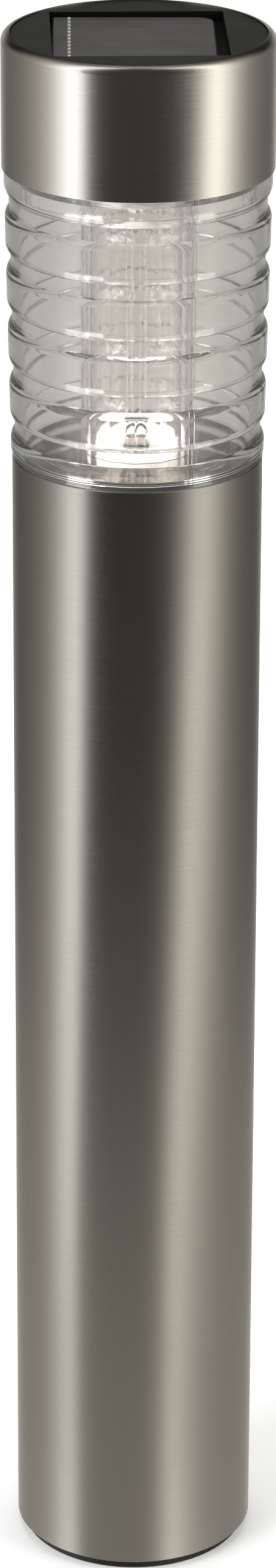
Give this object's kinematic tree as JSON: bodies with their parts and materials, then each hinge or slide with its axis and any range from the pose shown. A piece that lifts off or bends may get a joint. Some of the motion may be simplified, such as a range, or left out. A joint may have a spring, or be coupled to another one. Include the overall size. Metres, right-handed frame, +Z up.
{
  "type": "solar bollard light",
  "caption": "Solar bollard light: brushed steel tube post, ribbed clear lens with a faceted light guide, and a steel cap that holds a square solar panel.",
  "frame": {"origin": "centre of the foot ring's underside, on the ground", "axes": "+Z up along the post, -Y towards the side that the picture shows as the front, +X to its right"},
  "size_m": [0.0644, 0.0644, 0.396],
  "materials": {
    "post_steel": "brushed round the tube",
    "cap_steel": "brushed round the cap",
    "black_plastic": "fine moulded grain",
    "face_black": "satin moulded",
    "seal_rubber": "soft rubber",
    "screw_steel": "zinc plated",
    "cell_wrap": "plain shrink sleeve",
    "contact_metal": "nickel plated",
    "switch_case": "tinned sheet",
    "board_green": "solder mask",
    "component_black": "moulded",
    "lead_white": "smooth insulation",
    "led_epoxy": "clear epoxy",
    "phosphor_amber": "amber phosphor",
    "white_plastic": "smooth white",
    "lens_clear": "clear moulded acrylic",
    "guide_clear": "clear moulded acrylic",
    "reflector_metal": "vacuum metallised",
    "board_dark": "dark laminate",
    "cell_dark": "dark cell under clear laminate",
    "busbar_silver": "tinned strip"
  },
  "bodies": {
    "root": {"post_tube": "post_steel", "base_plug": "black_plastic", "post_collar": "black_plastic"},
    "seal": {"seal_ring": "seal_rubber"},
    "lantern": {"lamp_base": "black_plastic", "pod_floor": "black_plastic", "pod_gasket": "seal_rubber", "pod_screws": "screw_steel", "battery_cell": "cell_wrap", "battery_contacts": "contact_metal", "battery_spring": "contact_metal", "hinge_pin": "screw_steel", "switch_body": "switch_case", "circuit_board": "board_green", "circuit_parts": "component_black", "board_screws": "screw_steel", "switch_leads": "lead_white", "led_lens": "led_epoxy", "led_frame": "contact_metal", "led_phosphor": "phosphor_amber", "led_dish": "white_plastic", "deck_plate": "reflector_metal", "lens": "lens_clear", "light_guide": "guide_clear", "head_floor": "white_plastic", "top_reflector": "reflector_metal", "panel_housing": "face_black", "head_screws": "screw_steel", "cap_shell": "cap_steel", "solar_board": "board_dark", "solar_cell": "cell_dark", "cell_busbar": "busbar_silver", "solar_leads": "lead_white"},
    "knob": {"switch_slider": "black_plastic"},
    "door": {"battery_door": "black_plastic"}
  },
  "joints": [
    {"name": "lantern_lift", "type": "slide", "parent": "root", "child": "seal", "axis": [0, 0, 1], "range_m": [0, 0.045]},
    {"name": "lantern_twist", "type": "hinge", "parent": "seal", "child": "lantern", "pos_m": [0, 0, 0.289], "axis": [0, 0, 1], "range_deg": [-15, 0]},
    {"name": "switch_slide", "type": "slide", "parent": "lantern", "child": "knob", "axis": [1, 0, 0], "range_m": [0, 0.0025]},
    {"name": "battery_door_hinge", "type": "hinge", "parent": "lantern", "child": "door", "pos_m": [-0.0172, 0, 0.2603], "axis": [0, 1, 0], "range_deg": [0, 90]}
  ]
}
